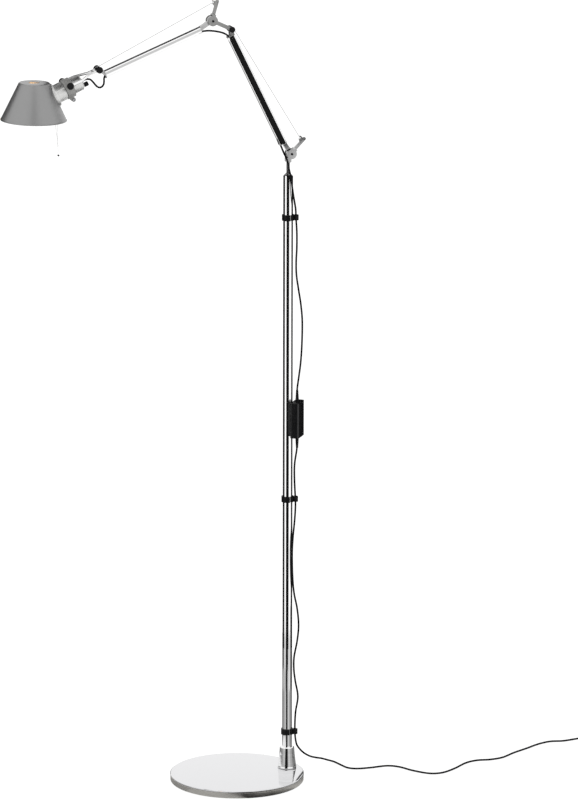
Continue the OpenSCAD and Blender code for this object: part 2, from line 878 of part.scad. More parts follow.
module lamp_socket() {
    color("white") in_holder() difference() {
        translate([0, 0, -4]) cylinder(r = 11.2, h = 34);
        translate([0, 0, -5]) cylinder(r = 7, h = 30);
    }
}
module bulb_cap() {
    color("silver") in_holder() {
        translate([0, 0, -1]) cylinder(r = 7, h = 20);
        translate([0, 0, 19]) cylinder(r1 = 7, r2 = 3, h = 4);
    }
}
module bulb_glass() {
    globe_r = 14;
    globe_z = -24;
    color("ivory") in_holder() rotate_extrude() polygon(concat(
        [[0, -1], [6.4, -1]],
        [for (a = [30 : 10 : 170]) [globe_r * sin(a), globe_z + globe_r * cos(a)]],
        [[0, globe_z - globe_r]]
    ));
}
module shade() {
    top = shade_h;
    color("darkgray") difference() {
        in_shade() rotate_extrude($fn = 96) polygon([
            [lip_r, 0], [lip_r, 1], [wall_at(2.2), 2.2],
            [wall_at(top - 0.5), top - 0.5], [shade_top_r - 0.2, top],
            [top_hole_r, top], [top_hole_r, top - shade_t],
            [shade_top_r - shade_t, top - shade_t],
            [rim_r - shade_t, 2], [rim_r - 0.6, 0]
        ]);
        in_holder() translate([0, 0, -20]) cylinder(r = 13, h = 40);
    }
}
module wire_handle() {
    color("whitesmoke") {
        for (y = [-handle_w, handle_w]) {
            rod(handle_top + [0, y, 0], handle_mid + [0, y, 0], handle_d);
            rod(handle_mid + [0, y, 0], handle_low + [0, y / 9, 0], handle_d);
            translate(handle_mid + [0, y, 0])
                sphere(d = handle_d + 0.4, $fn = 24);
        }
        rod(handle_low, handle_end, handle_d);
        translate(handle_low) sphere(r = 1.3, $fn = 24);
    }
}
module handle_tip() {
    color("black") difference() {
        translate(handle_end) sphere(r = 1.7, $fn = 32);
        rod(handle_low, handle_end, handle_d);
    }
}
module switch_button() {
    color("black") in_holder() translate([button_x, 0, rear_z]) {
        translate([0, 0, -5]) cylinder(r = 3, h = 8);
        translate([0, 0, 2.5]) cylinder(r = button_r, h = 7);
    }
}

base_pad();
base_weight();
base_cover();
pole_bolt();
pole_foot_plug();
pole_collar();
collar_screw();
pole_tube();
pole_top_bush();
cord_clip_top();
cord_clip_middle();
cord_clip_bottom();
upper_lead();
driver_case();
driver_lid();
driver_board();
driver_screws();
driver_strain_reliefs();
lower_lead();
lead_coil();
coil_tie();
plug_body();
plug_pins();
swivel_cord();
shoulder_casting();
shoulder_pin();
shoulder_cord();
lower_tube();
lower_tube_foot();
elbow_casting();
elbow_pin();
lower_spring();
lower_spring_anchor();
lower_pulley();
lower_pulley_pin();
lower_tension_cable();
elbow_cord();
upper_tube();
upper_tube_foot();
upper_tube_head();
wrist_pin();
upper_spring();
upper_spring_anchor();
upper_pulley();
upper_tension_cable();
head_cord();
head_fork();
head_pivots();
holder_cord();
holder_ring();
ring_screw();
holder_front();
holder_rear();
lamp_socket();
bulb_cap();
bulb_glass();
shade();
wire_handle();
handle_tip();
switch_button();
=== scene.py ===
"""Looks of the pharmacy floor lamp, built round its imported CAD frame.

The frame is in metres: origin at the centre of the base's underside, +X
towards the pole, arms in the XZ plane, +Z up. Profiles, routes and what mm()
takes are in millimetres, as in the CAD source.
"""

import json
import math

import bmesh
import bpy
from mathutils import Euler, Matrix, Vector


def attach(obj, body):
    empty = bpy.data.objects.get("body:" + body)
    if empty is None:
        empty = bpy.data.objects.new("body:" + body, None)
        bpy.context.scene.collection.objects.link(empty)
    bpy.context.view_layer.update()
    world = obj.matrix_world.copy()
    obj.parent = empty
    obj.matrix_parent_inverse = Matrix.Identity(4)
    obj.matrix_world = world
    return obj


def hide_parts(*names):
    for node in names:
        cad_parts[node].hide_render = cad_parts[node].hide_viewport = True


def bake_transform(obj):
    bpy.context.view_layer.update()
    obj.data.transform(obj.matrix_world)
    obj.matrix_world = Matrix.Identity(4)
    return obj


MM = 0.001
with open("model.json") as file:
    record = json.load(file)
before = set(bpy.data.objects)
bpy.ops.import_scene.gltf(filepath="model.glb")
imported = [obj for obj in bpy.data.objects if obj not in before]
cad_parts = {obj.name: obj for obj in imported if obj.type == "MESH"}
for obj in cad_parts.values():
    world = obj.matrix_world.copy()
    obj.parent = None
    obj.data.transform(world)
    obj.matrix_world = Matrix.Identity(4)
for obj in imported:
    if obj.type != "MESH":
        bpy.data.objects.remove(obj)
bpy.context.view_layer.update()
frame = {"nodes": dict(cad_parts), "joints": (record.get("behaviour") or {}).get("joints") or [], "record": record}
scene = bpy.context.scene
nodes = frame["nodes"]
joint_at = {j["name"]: Vector(j["pos_m"]) for j in frame["joints"] if "pos_m" in j}


# ---------------------------------------------------------------- camera
CAMERA_AT = (-3.1558, -9.2784, 3.0020)
CAMERA_TURN = (76.622, 0.0, -19.3)
CAMERA_ROLL = 0.11
CAMERA_LENS = 267.49


def make_camera():
    data = bpy.data.cameras.new("camera")
    data.lens = CAMERA_LENS
    data.sensor_width = 36.0
    data.clip_start = 0.1
    data.clip_end = 200.0
    camera = bpy.data.objects.new("camera", data)
    turn = Euler([math.radians(a) for a in CAMERA_TURN]).to_matrix().to_4x4()
    roll = Matrix.Rotation(math.radians(CAMERA_ROLL), 4, "Z")
    camera.matrix_world = Matrix.Translation(CAMERA_AT) @ turn @ roll
    scene.collection.objects.link(camera)
    scene.camera = camera


make_camera()


# ---------------------------------------------------------------- mesh tools
SHARP = math.radians(35)  # an edge steeper than this stays sharp
BLUNT = math.radians(50)
UP = Vector((0, 0, 1))


def turned(at, degrees):
    """Frame at a place, turned about Y as the CAD's parts are."""
    return Matrix.Translation(at) @ Matrix.Rotation(math.radians(degrees), 4, "Y")


def mm(x, y=0.0, z=0.0):
    return Vector((x, y, z)) * MM


def mesh_piece(name, points, faces, sharp=SHARP):
    """Object from points and faces, smooth except over sharp edges."""
    mesh = bpy.data.meshes.new(name)
    mesh.from_pydata([tuple(p) for p in points], [], faces)
    mesh.validate()
    mesh.shade_smooth()
    mesh.set_sharp_from_angle(angle=sharp)
    made = bpy.data.objects.new(name, mesh)
    scene.collection.objects.link(made)
    return made


def softened(profile, size, steps=4):
    """Profile with every inner corner rounded by about size."""
    out = [Vector(profile[0])]
    for a, b, c in zip(profile, profile[1:], profile[2:]):
        a, b, c = Vector(a), Vector(b), Vector(c)
        back, on = a - b, c - b
        cut = min(size, back.length * 0.45, on.length * 0.45)
        start, end = b + back.normalized() * cut, b + on.normalized() * cut
        for k in range(steps + 1):
            t = k / steps
            out.append(start * (1 - t) ** 2 + b * 2 * t * (1 - t) + end * t * t)
    out.append(Vector(profile[-1]))
    return out


def lathe(name, profile, place, steps=96, round_by=0.0, flutes=None, loop=False):
    """Solid of revolution about the frame's Z from (radius, height) in mm.

    flutes is (count, depth, low, high): shallow grooves between two heights.
    """
    line = [Vector(p) for p in profile]
    if round_by:
        line = softened(line, round_by)
    points, faces = [], []
    for r, z in line:
        for k in range(steps):
            angle = 2 * math.pi * k / steps
            radius = r
            if flutes and flutes[2] < z < flutes[3]:
                radius -= flutes[1] * (0.5 + 0.5 * math.cos(flutes[0] * angle))
            spot = mm(radius * math.cos(angle), radius * math.sin(angle), z)
            points.append(place @ spot)
    pairs = list(zip(range(len(line) - 1), range(1, len(line))))
    if loop:
        pairs.append((len(line) - 1, 0))
    for i, j in pairs:
        for k in range(steps):
            n = (k + 1) % steps
            faces.append((i * steps + k, i * steps + n, j * steps + n, j * steps + k))
    if not loop:
        for end, flip in ((0, True), (len(line) - 1, False)):
            if line[end].x > 1e-6:
                ring = [end * steps + k for k in range(steps)]
                faces.append(ring[::-1] if flip else ring)
    return cleaned(mesh_piece(name, points, faces))


def cleaned(piece):
    """Merges doubled points on the axis and turns the faces outwards."""
    work = bmesh.new()
    work.from_mesh(piece.data)
    bmesh.ops.remove_doubles(work, verts=work.verts, dist=1e-7)
    bmesh.ops.recalc_face_normals(work, faces=work.faces)
    work.to_mesh(piece.data)
    work.free()
    piece.data.shade_smooth()
    piece.data.set_sharp_from_angle(angle=SHARP)
    return piece


def smooth(points, steps):
    """Smooth curve through points, steps pieces between neighbours."""
    out = []
    for i in range(len(points) - 1):
        a, b = points[max(i - 1, 0)], points[i]
        c, d = points[i + 1], points[min(i + 2, len(points) - 1)]
        for k in range(steps):
            t = k / steps
            out.append(
                0.5
                * (
                    2 * b
                    + (c - a) * t
                    + (2 * a - 5 * b + 4 * c - d) * t * t
                    + (3 * b - a - 3 * c + d) * t**3
                )
            )
    out.append(points[-1].copy())
    return out


def tube(name, path, radius, sides=12):
    """Round tube along path, whose frames turn as little as they can."""
    points, faces, across = [], [], None
    for i, spot in enumerate(path):
        on = (path[min(i + 1, len(path) - 1)] - path[max(i - 1, 0)]).normalized()
        if across is None:
            across = on.orthogonal()
        across = (across - on * across.dot(on)).normalized()
        up = on.cross(across)
        for k in range(sides):
            angle = 2 * math.pi * k / sides
            out = across * math.cos(angle) + up * math.sin(angle)
            points.append(spot + out * radius)
    for i in range(len(path) - 1):
        for k in range(sides):
            n = (k + 1) % sides
            faces.append(
                (i * sides + k, i * sides + n, (i + 1) * sides + n, (i + 1) * sides + k)
            )
    faces.append(list(range(sides))[::-1])
    faces.append([(len(path) - 1) * sides + k for k in range(sides)])
    return mesh_piece(name, points, faces, BLUNT)


def loft(name, sections, place, sides=40):
    """Solid through superellipses: (x, half width, half height, power) in mm."""
    points, faces = [], []
    for x, wide, high, power in sections:
        for k in range(sides):
            angle = 2 * math.pi * k / sides
            c, s = math.cos(angle), math.sin(angle)
            y = wide * math.copysign(abs(c) ** (2 / power), c)
            z = high * math.copysign(abs(s) ** (2 / power), s)
            points.append(place @ mm(x, y, z))
    for i in range(len(sections) - 1):
        for k in range(sides):
            n = (k + 1) % sides
            faces.append(
                (i * sides + k, i * sides + n, (i + 1) * sides + n, (i + 1) * sides + k)
            )
    faces.append(list(range(sides))[::-1])
    faces.append([(len(sections) - 1) * sides + k for k in range(sides)])
    return cleaned(mesh_piece(name, points, faces))


# ---------------------------------------------------------------- frames
SHOULDER = joint_at["shoulder_hinge"]
ELBOW = joint_at["elbow_hinge"]
WRIST = joint_at["wrist_hinge"]
PIVOT = joint_at["head_tilt"]
HOLDER = joint_at["head_roll"]
# The CAD's turns about Y, in degrees.
LOWER_TURN, UPPER_TURN, LINK_TURN = -26.2, -111.2, -111.0
HOLDER_TURN, SHADE_TILT = 66.7, 1.4
LOWER_LEVER, UPPER_LEVER = 45.0, 73.3
LOWER = turned(SHOULDER, LOWER_TURN)
UPPER = turned(ELBOW, UPPER_TURN)
LINK = turned(WRIST, LINK_TURN)
HEAD = turned(HOLDER, HOLDER_TURN)
# The shade's rim, top and height, and how high its wall meets the holder.
RIM_R, TOP_R, SHADE_H = 54.2, 25.2, 63.3
WALL_H = 41.0
WALL_SLOPE = (RIM_R - TOP_R - 0.4) / (SHADE_H - 2.7)
WALL_R = RIM_R + 0.2 - WALL_SLOPE * (WALL_H - 2.2) - 0.7
SHADE = turned(HOLDER, SHADE_TILT) @ Matrix.Translation(mm(-WALL_R, 0, -WALL_H))
POLE_X = joint_at["pole_swivel"].x / MM


# ---------------------------------------------------------------- cords
CORD_R = 1.6
ROUTE_STEPS = 8
CAMERA_SIDE = math.radians(CAMERA_TURN[2])
BOX_AT = (POLE_X + 13.8, -9.4, 632.0)
BOX_HALF = 30.5


def beside(to_side, to_front, height):
    """Place given from the pole: to the camera's right, towards it, and up."""
    c, s = math.cos(CAMERA_SIDE), math.sin(CAMERA_SIDE)
    return mm(POLE_X + to_side * c + to_front * s, to_side * s - to_front * c, height)


UPPER_ROUTE = [
    (5.6, 10.5, 1046), (8.6, 9.5, 1024), (11, 7, 1009), (13, 2.5, 995),
    (13.5, 0, 981), (15, 0, 955), (15, 0, 928), (14, 0, 905),
    (14.5, 0, 882), (18, 0, 857), (22, 0, 831), (24.5, 0, 802),
    (24, 0, 762), (22, 1, 730), (19, 3, 706), (16.2, 4, 684), (16, 4, 664),
]  # fmt: skip
LOWER_ROUTE = [
    (16, 4, 600), (15.8, 4, 580), (12, 4, 552), (12, 2, 522),
    (13.5, 0, 491), (13.5, 0, 472), (12, 3, 450), (9.5, 7, 424),
    (8.2, 8, 396), (9, 7, 356), (11.5, 4, 326), (17, 2, 297),
    (19.5, 1, 267), (17, 1, 239), (12, 2, 212), (11.5, 2, 190),
    (14, 1, 168), (18.5, 0, 140), (14.5, 0, 111), (13.5, 0, 78),
    (16, -8, 54), (21.5, -17, 41.5), (29, -27, 31), (39.5, -42, 20.5),
    (50, -55, 14), (60, -65, 9.5), (71, -70, 5), (82, -69, 2.2),
]  # fmt: skip
FLOOR_ROUTE = [
    (196, 20), (202, -2), (216, -12), (240, -14), (270, -13),
    (288, -26), (303, -54), (324, -79), (347, -82), (375, -66),
    (406, -41), (430, -33), (453, -36), (478, -31), (507, -11),
    (537, 6), (567, 24), (592, 32), (614, 28), (636, 31), (658, 36),
]  # fmt: skip
INTO_COIL = (676, 41.5, 2.3)
COIL_AT = (694.0, 24.0, 7.3)
COIL_R = 19.0
COIL_START, COIL_TURNS = 105.0, 9 + 165 / 360
STEPS_A_TURN = 48
# Share of a turn after which the cord moves to the next place.
MOVE_AFTER = 0.7
BUNDLE_R = 4.7


def in_bundle(degrees):
    angle = math.radians(degrees)
    return BUNDLE_R * math.cos(angle), BUNDLE_R * math.sin(angle)


# The turns' places in the bundle's section, in the order they are wound: mm
# outwards and up from its middle.
SECTION = [
    *(in_bundle(a) for a in (-45, -90, -135, 180)), (-1.5, -0.6), (1.5, 0.6),
    *(in_bundle(a) for a in (135, 90, 45, 0)),
]  # fmt: skip
PLUG_ROUTE = [(699, 0, 5.6), (692, -6, 5.9), (683.7, -16.2, 6.6)]
PLUG_AT = (662.0, -45.0, 6.6)
PLUG_TURN = 53.0


def coil_points():
    """The wound turns: each moves to the next place late in its turn."""
    count = round(COIL_TURNS * STEPS_A_TURN)
    out = []
    for i in range(count + 1):
        t = COIL_TURNS * i / count
        k = min(int(t), len(SECTION) - 1)
        share = max(0.0, (t - k - MOVE_AFTER) / (1 - MOVE_AFTER))
        share = share * share * (3 - 2 * share)
        a, b = SECTION[k], SECTION[min(k + 1, len(SECTION) - 1)]
        outward = a[0] * (1 - share) + b[0] * share
        up = a[1] * (1 - share) + b[1] * share
        angle = math.radians(COIL_START - 360 * t)
        r = COIL_R + outward
        out.append(mm(*COIL_AT) + mm(r * math.cos(angle), r * math.sin(angle), up))
    return out


def make_cords():
    upper = smooth([beside(*p) for p in UPPER_ROUTE], ROUTE_STEPS)
    cord = tube("cord_upper", upper, CORD_R * MM)
    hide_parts("upper_lead")
    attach(cord, "stand")
    route = [beside(*p) for p in LOWER_ROUTE]
    route += [mm(x, y, CORD_R + 0.1) for x, y in FLOOR_ROUTE]
    coil = coil_points()
    lead_in = smooth([*route, mm(*INTO_COIL), coil[0]], ROUTE_STEPS)
    tail = smooth([coil[-1], *(mm(*p) for p in PLUG_ROUTE)], ROUTE_STEPS)
    lower = lead_in[:-1] + coil + tail[1:]
    lead = tube("cord_lower", lower, CORD_R * MM)
    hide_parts("lower_lead", "lead_coil")
    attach(lead, "stand")
    return (cord, upper), (lead, lower)


(cord_upper, upper_path), (cord_lower, lower_path) = make_cords()


# ---------------------------------------------------------------- materials
def link(tree, a, b):
    tree.links.new(a, b)


def texture_space(tree, turn=0.0, origin=(0.0, 0.0, 0.0), scale=(1.0, 1.0, 1.0)):
    """Object coordinates in a part's own frame, stretched by scale."""
    space = tree.nodes.new("ShaderNodeTexCoord")
    local = tree.nodes.new("ShaderNodeMapping")
    local.vector_type = "TEXTURE"
    local.inputs["Location"].default_value = origin
    local.inputs["Rotation"].default_value = (0.0, math.radians(turn), 0.0)
    stretch = tree.nodes.new("ShaderNodeMapping")
    stretch.inputs["Scale"].default_value = scale
    link(tree, space.outputs["Object"], local.inputs["Vector"])
    link(tree, local.outputs["Vector"], stretch.inputs["Vector"])
    return stretch.outputs["Vector"]


def noise(tree, vector, scale, detail=3.0):
    node = tree.nodes.new("ShaderNodeTexNoise")
    node.inputs["Scale"].default_value = scale
    node.inputs["Detail"].default_value = detail
    link(tree, vector, node.inputs["Vector"])
    return node


def ranged(tree, value, low, high):
    node = tree.nodes.new("ShaderNodeMapRange")
    node.inputs["From Min"].default_value = 0.3
    node.inputs["From Max"].default_value = 0.7
    node.inputs["To Min"].default_value = low
    node.inputs["To Max"].default_value = high
    link(tree, value, node.inputs["Value"])
    return node.outputs["Result"]


def blended(tree, value, a, b):
    node = tree.nodes.new("ShaderNodeMix")
    node.data_type = "RGBA"
    node.inputs["A"].default_value = (*a, 1.0)
    node.inputs["B"].default_value = (*b, 1.0)
    link(tree, value, node.inputs["Factor"])
    return node.outputs["Result"]


def bump(tree, height, strength, distance):
    node = tree.nodes.new("ShaderNodeBump")
    node.inputs["Strength"].default_value = strength
    node.inputs["Distance"].default_value = distance
    link(tree, height, node.inputs["Height"])
    return node.outputs["Normal"]


def shaded(name):
    """New material's (material, tree, shader)."""
    made = bpy.data.materials.new(name)
    made.use_nodes = True
    return made, made.node_tree, made.node_tree.nodes["Principled BSDF"]


def surface(
    name,
    colour,
    metal=0.0,
    rough=0.4,
    vary=0.08,
    tone=0.12,
    grain=900.0,
    relief=0.1,
    depth=0.00004,
    stretch=(1.0, 1.0, 1.0),
    turn=0.0,
    origin=(0.0, 0.0, 0.0),
    specular=0.5,
    coat=0.0,
):
    """Material with fine grain in its tone, roughness and relief, and smudges."""
    made, tree, shader = shaded(name)
    fine = noise(tree, texture_space(tree, turn, origin, stretch), grain, 4.0)
    broad = noise(tree, texture_space(tree, turn, origin), 28.0, 2.0)
    darker = [c * (1 - tone) for c in colour]
    lighter = [min(1.0, c * (1 + tone)) for c in colour]
    sway = ranged(tree, fine.outputs["Fac"], 0.0, 1.0)
    link(tree, blended(tree, sway, darker, lighter), shader.inputs["Base Color"])
    mixed = tree.nodes.new("ShaderNodeMath")
    mixed.operation = "MULTIPLY_ADD"
    link(tree, fine.outputs["Fac"], mixed.inputs[0])
    mixed.inputs[1].default_value = 0.4
    link(tree, broad.outputs["Fac"], mixed.inputs[2])
    link(
        tree,
        ranged(tree, mixed.outputs["Value"], max(0.02, rough - vary), rough + vary),
        shader.inputs["Roughness"],
    )
    link(tree, bump(tree, fine.outputs["Fac"], relief, depth), shader.inputs["Normal"])
    shader.inputs["Metallic"].default_value = metal
    shader.inputs["Specular IOR Level"].default_value = specular
    shader.inputs["Coat Weight"].default_value = coat
    return made


def turned_metal(name, colour, rough, centre, relief=0.06, rings=2600.0, tone=0.06):
    """Lathe-turned metal: fine rings about a vertical line."""
    made, tree, shader = shaded(name)
    flat = texture_space(tree, 0.0, centre, (1.0, 1.0, 0.0))
    far = tree.nodes.new("ShaderNodeVectorMath")
    far.operation = "LENGTH"
    link(tree, flat, far.inputs[0])
    groove = tree.nodes.new("ShaderNodeTexNoise")
    groove.noise_dimensions = "1D"
    groove.inputs["Scale"].default_value = rings
    groove.inputs["Detail"].default_value = 3.0
    link(tree, far.outputs["Value"], groove.inputs["W"])
    smudge = noise(tree, texture_space(tree, 0.0, centre), 22.0, 3.0)
    darker = [c * (1 - tone) for c in colour]
    lighter = [min(1.0, c * (1 + tone)) for c in colour]
    sway = ranged(tree, groove.outputs["Fac"], 0.0, 1.0)
    link(tree, blended(tree, sway, darker, lighter), shader.inputs["Base Color"])
    link(
        tree,
        ranged(tree, smudge.outputs["Fac"], max(0.03, rough - 0.04), rough + 0.05),
        shader.inputs["Roughness"],
    )
    link(tree, bump(tree, groove.outputs["Fac"], relief, 0.00003), shader.inputs["Normal"])
    shader.inputs["Metallic"].default_value = 1.0
    return made


def lit_glass(name):
    """Frosted bulb glass, lit warm from inside, its warmth varying with the frost."""
    made, tree, shader = shaded(name)
    frost = noise(tree, texture_space(tree), 260.0, 3.0)
    glow = ranged(tree, frost.outputs["Fac"], 0.0, 1.0)
    warm = blended(tree, glow, (1.0, 0.52, 0.20), (1.0, 0.72, 0.42))
    link(tree, warm, shader.inputs["Emission Color"])
    shader.inputs["Emission Strength"].default_value = 6.0
    shader.inputs["Base Color"].default_value = (0.9, 0.82, 0.7, 1.0)
    link(tree, ranged(tree, frost.outputs["Fac"], 0.3, 0.5), shader.inputs["Roughness"])
    return made


def circuit_board(name):
    """Green board with copper tracks on a square grid."""
    made, tree, shader = shaded(name)
    bricks = tree.nodes.new("ShaderNodeTexBrick")
    bricks.inputs["Scale"].default_value = 260.0
    bricks.inputs["Color1"].default_value = (0.01, 0.10, 0.035, 1.0)
    bricks.inputs["Color2"].default_value = (0.012, 0.13, 0.05, 1.0)
    bricks.inputs["Mortar"].default_value = (0.42, 0.22, 0.08, 1.0)
    bricks.inputs["Mortar Size"].default_value = 0.03
    link(tree, texture_space(tree, 0.0), bricks.inputs["Vector"])
    link(tree, bricks.outputs["Color"], shader.inputs["Base Color"])
    link(tree, ranged(tree, bricks.outputs["Fac"], 0.3, 0.5), shader.inputs["Roughness"])
    return made


BLACK = (0.005, 0.005, 0.0055)
POLISHED = (0.93, 0.93, 0.93)
ALONG = (1.0, 1.0, 0.02)
ORIGIN = (0.0, 0.0, 0.0)
looks = {
    "pad": surface("pad", (0.02, 0.02, 0.022), 0, 0.75, grain=500, relief=0.4, specular=0.2),
    "weight_steel": surface(
        "weight_steel", (0.60, 0.585, 0.55), 1, 0.34, 0.06, 0.08,
        grain=1500, relief=0.12, stretch=(0.05, 0.05, 1.0),
    ),
    "polished_plate": turned_metal(
        "polished_plate", (0.70, 0.70, 0.71), 0.06, ORIGIN, 0.02, tone=0.02
    ),
    "steel_fastener": surface("steel_fastener", (0.35, 0.35, 0.36), 1, 0.32),
    "collar_chrome": turned_metal(
        "collar_chrome", (0.88, 0.88, 0.88), 0.07, (POLE_X * MM, 0.0, 0.0), 0.03
    ),
    "pole_polished": surface(
        "pole_polished", POLISHED, 1, 0.05, 0.03, 0.02,
        grain=1200, relief=0.02, depth=0.00001, stretch=ALONG,
    ),
    "black_plastic": surface(
        "black_plastic", BLACK, 0, 0.34, 0.08, 0.3, grain=1600, relief=0.2, specular=0.13
    ),
    "driver_plastic": surface(
        "driver_plastic", BLACK, 0, 0.3, 0.06, 0.3, grain=1600, relief=0.2, specular=0.5
    ),
    "cord_black": surface(
        "cord_black", BLACK, 0, 0.5, 0.1, 0.3, grain=2200, relief=0.15, specular=0.08,
    ),
    "board_green": circuit_board("board_green"),
    "tie_grey": surface("tie_grey", (0.05, 0.05, 0.055), 0, 0.55, grain=1800, relief=0.35),
    "pin_plated": surface(
        "pin_plated", (0.72, 0.70, 0.65), 1, 0.2, grain=900, relief=0.08
    ),
    "cast_bright": surface(
        "cast_bright", (0.46, 0.46, 0.46), 1, 0.3, 0.06, 0.06, grain=1300, relief=0.12
    ),
    "cast_grey": surface(
        "cast_grey", (0.30, 0.30, 0.295), 1, 0.42, 0.08, 0.15, grain=1300, relief=0.35
    ),
    "lower_polished": surface(
        "lower_polished", POLISHED, 1, 0.06, 0.03, 0.03, grain=1200, relief=0.02,
        depth=0.00001, stretch=ALONG, turn=LOWER_TURN, origin=SHOULDER,
    ),
    "upper_polished": surface(
        "upper_polished", POLISHED, 1, 0.06, 0.03, 0.03, grain=1200, relief=0.02,
        depth=0.00001, stretch=ALONG, turn=UPPER_TURN, origin=ELBOW,
    ),
    "spring_steel": surface("spring_steel", (0.32, 0.32, 0.33), 1, 0.3),
    "cable_steel": surface(
        "cable_steel", (0.42, 0.42, 0.42), 0, 0.4, 0.06, 0.1, grain=2500, relief=0.15
    ),
    "fork_plate": surface(
        "fork_plate", (0.86, 0.86, 0.86), 1, 0.12, 0.05, 0.05, grain=1400, relief=0.05
    ),
    "ring_grey": surface(
        "ring_grey", (0.27, 0.27, 0.262), 0.4, 0.46, 0.06, 0.12, grain=1300, relief=0.3
    ),
    "holder_satin": surface(
        "holder_satin", (0.66, 0.66, 0.65), 1, 0.4, 0.04, 0.06,
        grain=1600, relief=0.1, turn=HOLDER_TURN, origin=HOLDER,
    ),
    "ceramic": surface("ceramic", (0.8, 0.78, 0.72), 0, 0.3, 0.06, 0.05, grain=300, coat=0.4),
    "bulb_glass": lit_glass("bulb_glass"),
    "shade_satin": surface(
        "shade_satin", (0.30, 0.30, 0.30), 1, 0.36, 0.04, 0.06, grain=2400, relief=0.08
    ),
    "handle_wire": surface(
        "handle_wire", (0.92, 0.92, 0.92), 1, 0.3, 0.05, 0.03, grain=900, relief=0.05
    ),
}  # fmt: skip


def dress(piece, look, body=None, node=None):
    """Gives a piece its material and slot, and its body and the node it replaces."""
    piece.data.materials.append(looks[look])
    if body:
        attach(piece, body)
    if node:
        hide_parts(node)
    return piece


EDGE_WIDTH, EDGE_ANGLE = 0.35, math.radians(38)
EDGE_WIDTHS = {"driver_case": 0.9, "driver_lid": 0.9, "base_pad": 0.6}
SMOOTH_PARTS = ("pole_tube", "lower_tube", "upper_tube", "bulb_glass", "handle_tip")
# Parts whose look isn't just their slot's.
OWN_LOOKS = {
    "lower_tube": "lower_polished",
    "upper_tube": "upper_polished",
    "driver_case": "driver_plastic",
    "driver_lid": "driver_plastic",
}


def finish_cad_parts():
    """Every CAD part gets its look, and each that stays, but for the smooth parts, a bevelled edge."""
    slots = {s["node"]: s["material_slot"] for s in frame["record"]["subparts"]}
    for name, part in nodes.items():
        look = OWN_LOOKS.get(name, slots[name])
        if part.material_slots:
            part.material_slots[0].link = "OBJECT"
            part.material_slots[0].material = looks[look]
        else:
            part.data.materials.append(looks[look])
        if part.hide_render or name in SMOOTH_PARTS:
            continue
        weld = part.modifiers.new("weld", "WELD")
        weld.merge_threshold = 1e-6
        edge = part.modifiers.new("edge", "BEVEL")
        edge.width = EDGE_WIDTHS.get(name, EDGE_WIDTH) * MM
        edge.segments = 2
        edge.limit_method = "ANGLE"
        edge.angle_limit = EDGE_ANGLE
        edge.use_clamp_overlap = True
        edge.harden_normals = True


# ---------------------------------------------------------------- pieces
BASE_TOP = 13.4


def make_base():
    """Weight with a groove under the polished plate, and the plate's bevel."""
    flat = Matrix.Identity(4)
    weight = lathe(
        "base_body",
        [
            (0, 1.9), (109.4, 1.9), (109.8, 1.9), (110.2, 1.0), (113.8, 1.0),
            (114.6, 2.0), (114.6, 9.7), (113.7, 10.2), (113.7, 10.75), (0, 10.75),
        ],  # fmt: skip
        flat,
        192,
        0.25,
    )
    plate = lathe(
        "base_plate",
        [
            (0, 10.8), (114.1, 10.8), (115, 11.2), (115, 12.5), (113.9, BASE_TOP), (0, BASE_TOP),
        ],  # fmt: skip
        flat,
        192,
        0.3,
    )
    dress(weight, "weight_steel", "stand", "base_weight")
    dress(plate, "polished_plate", "stand", "base_cover")


def make_collar():
    collar = lathe(
        "collar",
        [
            (8.52, 0), (14.6, 0), (15.9, 0.5), (16.2, 1.8), (15.6, 3.9),
            (14.4, 14), (13.3, 24), (12.35, 36.6), (11.3, 38), (8.52, 38),
        ],  # fmt: skip
        Matrix.Translation(mm(POLE_X, 0, BASE_TOP)),
        128,
        0.5,
        loop=True,
    )
    dress(collar, "collar_chrome", "stand", "pole_collar")


def make_plug():
    """Flat two-pin plug body with grip ribs and a ribbed tail on the cord."""
    turn = Matrix.Rotation(math.radians(PLUG_TURN), 4, "Z")
    sections = [(0.0, 11.4, 5.6, 5), (0.5, 12.2, 6.3, 5), (2.0, 12.5, 6.55, 5)]
    for x in (5.0, 7.5, 10.0):
        sections += [
            (x - 0.6, 12.5, 6.55, 5), (x - 0.3, 12.0, 6.1, 5),
            (x + 0.3, 12.0, 6.1, 5), (x + 0.6, 12.5, 6.55, 5),
        ]  # fmt: skip
    sections += [
        (13.0, 12.3, 6.5, 4.5), (14.6, 10.8, 6.2, 4), (15.6, 7.4, 5.4, 3), (16.2, 4.9, 4.6, 2.2),
    ]  # fmt: skip
    for k in range(8):
        x = 17.0 + 2.35 * k
        r = 4.4 - 0.27 * k
        sections += [(x, r, r, 2), (x + 1.3, r - 0.1, r - 0.1, 2)]
        sections += [(x + 1.4, r - 0.7, r - 0.7, 2), (x + 2.2, r - 0.75, r - 0.75, 2)]
    plug = loft("plug", sections, Matrix.Translation(mm(*PLUG_AT)) @ turn)
    return dress(plug, "black_plastic", "stand", "plug_body")


# Middle of a fork's rod, as (sideways, along) in mm from the wrist, the rod's
# half width and half thickness, and the eyes' bore and radius.
FORK_LINE = ((6.4, 0), (6.4, 17), (21, 38), (21, (PIVOT - WRIST).length / MM))
ROD_WIDE, ROD_THICK, ROD_SIDES = 2.3, 1.1, 24
EYE_BORE, EYE_R = 2.15, 4.4
BAR_R, BAR_Z = 1.9, 10


